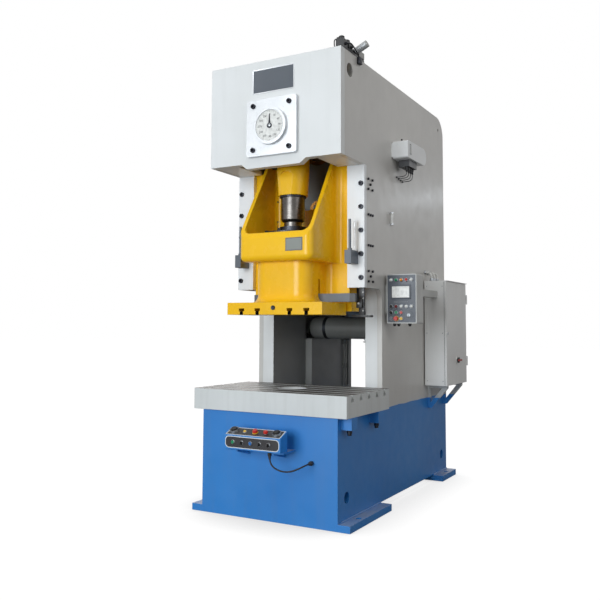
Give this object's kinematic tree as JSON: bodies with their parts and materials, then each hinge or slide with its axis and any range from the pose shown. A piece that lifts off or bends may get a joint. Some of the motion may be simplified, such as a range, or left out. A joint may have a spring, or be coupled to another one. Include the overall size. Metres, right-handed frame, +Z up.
{
  "type": "mechanical stamping press",
  "caption": "Gap-frame mechanical power press with a guided slide on an adjustable rod, slotted bolster, geared crank drive, electrical cabinet and two-hand console.",
  "frame": {"origin": "middle of the four anchor bolt holes at floor level", "axes": "+X to the operator's right, +Y from the operator to the back, +Z up"},
  "size_m": [1.453, 2.521, 3.4322],
  "materials": {
    "frame_paint": "light grey enamel, satin, lightly textured",
    "base_paint": "mid blue enamel, satin",
    "slide_paint": "golden yellow enamel over filled casting",
    "gib_steel": "pale ground plate",
    "bolster_steel": "milled top, oiled",
    "machined_steel": "turned and ground",
    "dark_steel": "black oxide",
    "bronze": "bearing bronze, oiled",
    "gear_iron": "cut and greased",
    "motor_iron": "painted housing",
    "panel_steel": "galvanised sheet",
    "cabinet_paint": "light grey powder coat",
    "box_paint": "slate powder coat",
    "device_paint": "pale grey housing",
    "valve_black": "black valve bodies",
    "cable_rubber": "black sheath",
    "belt_rubber": "black belt",
    "black_plastic": "black moulding",
    "grey_plastic": "grey moulding",
    "red_plastic": "red cap",
    "green_plastic": "green cap",
    "blue_plastic": "blue cap",
    "yellow_plastic": "yellow cap"
  },
  "bodies": {
    "frame": {"side_plate_left": "frame_paint", "side_plate_right": "frame_paint", "base_weldment": "base_paint", "column_boxes": "frame_paint", "head_box": "frame_paint", "bearing_walls": "frame_paint", "rear_guard": "panel_steel", "gib_plates": "gib_steel", "gib_liners": "bronze", "gib_screws": "dark_steel", "socket_bolts": "dark_steel", "bolster": "bolster_steel", "crank_cover": "machined_steel", "main_bearings": "bronze", "air_receiver": "cabinet_paint", "lubricator": "device_paint", "clutch_valve": "valve_black", "knockout_stops": "dark_steel", "cabinet_shell": "cabinet_paint", "cabinet_brackets": "frame_paint", "cabinet_panel": "grey_plastic", "control_box": "box_paint", "console_box": "base_paint", "console_cable": "cable_rubber", "cable_glands": "black_plastic", "motor": "motor_iron", "drive_belts": "belt_rubber"},
    "crank": {"crankshaft": "machined_steel", "main_gear": "gear_iron", "dial_pointer": "dark_steel"},
    "pinion": {"pinion_shaft": "gear_iron"},
    "flywheel": {"flywheel": "gear_iron"},
    "pulley": {"motor_pulley": "gear_iron"},
    "rod": {"conrod": "slide_paint", "lock_ring": "dark_steel"},
    "screw": {"ball_screw": "machined_steel"},
    "ram": {"slide": "slide_paint", "ball_seat": "dark_steel"},
    "knockout": {"knockout_bar": "dark_steel"},
    "door": {"cabinet_door": "cabinet_paint"},
    "isolator": {"isolator_handle": "black_plastic"},
    "mode_selector": {"mode_selector": "black_plastic"},
    "motor_selector": {"motor_selector": "red_plastic"},
    "jog_selector": {"jog_selector": "black_plastic"},
    "key_switch": {"key_switch": "machined_steel"},
    "start_button": {"start_button": "green_plastic"},
    "stop_button": {"stop_button": "red_plastic"},
    "reset_button": {"reset_button": "grey_plastic"},
    "lamp_button": {"lamp_button": "yellow_plastic"},
    "box_stop": {"box_stop": "red_plastic"},
    "left_palm": {"left_palm": "black_plastic"},
    "yellow_button": {"yellow_button": "yellow_plastic"},
    "console_stop": {"console_stop": "red_plastic"},
    "red_mushroom": {"red_mushroom": "red_plastic"},
    "right_palm": {"right_palm": "black_plastic"},
    "green_button": {"green_button": "green_plastic"},
    "first_selector": {"first_selector": "black_plastic"},
    "blue_button": {"blue_button": "blue_plastic"},
    "second_selector": {"second_selector": "black_plastic"},
    "third_selector": {"third_selector": "black_plastic"}
  },
  "joints": [
    {"name": "ram_stroke", "type": "slide", "parent": "frame", "child": "rod", "axis": [0, 0, 1], "range_m": [-0.16, 0]},
    {"name": "height_adjust", "type": "slide", "parent": "rod", "child": "ram", "axis": [0, 0, 1], "range_m": [0, 0.11]},
    {"name": "screw_turn", "type": "hinge", "parent": "ram", "child": "screw", "pos_m": [0, -0.82, 1.93], "axis": [0, 0, 1], "range_deg": [0, 3300]},
    {"name": "knockout_lift", "type": "slide", "parent": "ram", "child": "knockout", "axis": [0, 0, 1], "range_m": [0, 0.1]},
    {"name": "crank_turn", "type": "hinge", "parent": "frame", "child": "crank", "pos_m": [0, -0.82, 2.8], "axis": [0, 1, 0], "range_deg": [0, 180]},
    {"name": "pinion_turn", "type": "hinge", "parent": "frame", "child": "pinion", "pos_m": [0, 0, 2.29], "axis": [0, 1, 0], "range_deg": [-900, 0]},
    {"name": "flywheel_spin", "type": "hinge", "parent": "frame", "child": "flywheel", "pos_m": [0, 0.8, 2.29], "axis": [0, 1, 0], "continuous": true},
    {"name": "pulley_spin", "type": "hinge", "parent": "frame", "child": "pulley", "pos_m": [0, 0.8, 1.6], "axis": [0, 1, 0], "continuous": true},
    {"name": "door_swing", "type": "hinge", "parent": "frame", "child": "door", "pos_m": [0.757, 1.118, 1.3], "axis": [0, 0, 1], "range_deg": [0, 110]},
    {"name": "isolator_turn", "type": "hinge", "parent": "door", "child": "isolator", "pos_m": [0.76, 0.819, 1.057], "axis": [1, 0, 0], "range_deg": [0, 90]},
    {"name": "mode_selector_turn", "type": "hinge", "parent": "frame", "child": "mode_selector", "pos_m": [0.609, -0.365, 1.504], "axis": [0, -1, 0], "range_deg": [-45, 45]},
    {"name": "motor_selector_turn", "type": "hinge", "parent": "frame", "child": "motor_selector", "pos_m": [0.65, -0.365, 1.504], "axis": [0, -1, 0], "range_deg": [-45, 45]},
    {"name": "jog_selector_turn", "type": "hinge", "parent": "frame", "child": "jog_selector", "pos_m": [0.609, -0.365, 1.458], "axis": [0, -1, 0], "range_deg": [-45, 45]},
    {"name": "key_switch_turn", "type": "hinge", "parent": "frame", "child": "key_switch", "pos_m": [0.752, -0.365, 1.437], "axis": [0, -1, 0], "range_deg": [0, 90]},
    {"name": "start_button_press", "type": "slide", "parent": "frame", "child": "start_button", "axis": [0, 1, 0], "range_m": [0, 0.004], "stiffness_N_per_m": 400, "springref_m": -0.002},
    {"name": "stop_button_press", "type": "slide", "parent": "frame", "child": "stop_button", "axis": [0, 1, 0], "range_m": [0, 0.004], "stiffness_N_per_m": 400, "springref_m": -0.002},
    {"name": "reset_button_press", "type": "slide", "parent": "frame", "child": "reset_button", "axis": [0, 1, 0], "range_m": [0, 0.004], "stiffness_N_per_m": 400, "springref_m": -0.002},
    {"name": "lamp_button_press", "type": "slide", "parent": "frame", "child": "lamp_button", "axis": [0, 1, 0], "range_m": [0, 0.004], "stiffness_N_per_m": 400, "springref_m": -0.002},
    {"name": "box_stop_press", "type": "slide", "parent": "frame", "child": "box_stop", "axis": [0, 1, 0], "range_m": [0, 0.004], "stiffness_N_per_m": 400, "springref_m": -0.002},
    {"name": "left_palm_press", "type": "slide", "parent": "frame", "child": "left_palm", "axis": [0, 0.4079, -0.913], "range_m": [0, 0.005], "stiffness_N_per_m": 500, "springref_m": -0.002},
    {"name": "yellow_button_press", "type": "slide", "parent": "frame", "child": "yellow_button", "axis": [0, 0.4079, -0.913], "range_m": [0, 0.004], "stiffness_N_per_m": 500, "springref_m": -0.002},
    {"name": "console_stop_press", "type": "slide", "parent": "frame", "child": "console_stop", "axis": [0, 0.4079, -0.913], "range_m": [0, 0.005], "stiffness_N_per_m": 500, "springref_m": -0.002},
    {"name": "red_mushroom_press", "type": "slide", "parent": "frame", "child": "red_mushroom", "axis": [0, 0.4079, -0.913], "range_m": [0, 0.005], "stiffness_N_per_m": 500, "springref_m": -0.002},
    {"name": "right_palm_press", "type": "slide", "parent": "frame", "child": "right_palm", "axis": [0, 0.4079, -0.913], "range_m": [0, 0.005], "stiffness_N_per_m": 500, "springref_m": -0.002},
    {"name": "green_button_press", "type": "slide", "parent": "frame", "child": "green_button", "axis": [0, 1, 0], "range_m": [0, 0.004], "stiffness_N_per_m": 400, "springref_m": -0.002},
    {"name": "first_selector_turn", "type": "hinge", "parent": "frame", "child": "first_selector", "pos_m": [-0.081, -1.375, 0.556], "axis": [0, -1, 0], "range_deg": [-45, 45]},
    {"name": "blue_button_press", "type": "slide", "parent": "frame", "child": "blue_button", "axis": [0, 1, 0], "range_m": [0, 0.004], "stiffness_N_per_m": 400, "springref_m": -0.002},
    {"name": "second_selector_turn", "type": "hinge", "parent": "frame", "child": "second_selector", "pos_m": [0.061, -1.375, 0.556], "axis": [0, -1, 0], "range_deg": [-45, 45]},
    {"name": "third_selector_turn", "type": "hinge", "parent": "frame", "child": "third_selector", "pos_m": [0.132, -1.375, 0.556], "axis": [0, -1, 0], "range_deg": [-45, 45]}
  ],
  "couplings": [
    {"joint": "crank_turn", "follows": "ram_stroke", "rad_per_m": -19.635},
    {"joint": "pinion_turn", "follows": "ram_stroke", "rad_per_m": 98.174},
    {"joint": "screw_turn", "follows": "height_adjust", "rad_per_m": 523.6},
    {"joint": "pulley_spin", "follows": "flywheel_spin", "ratio": 5}
  ]
}
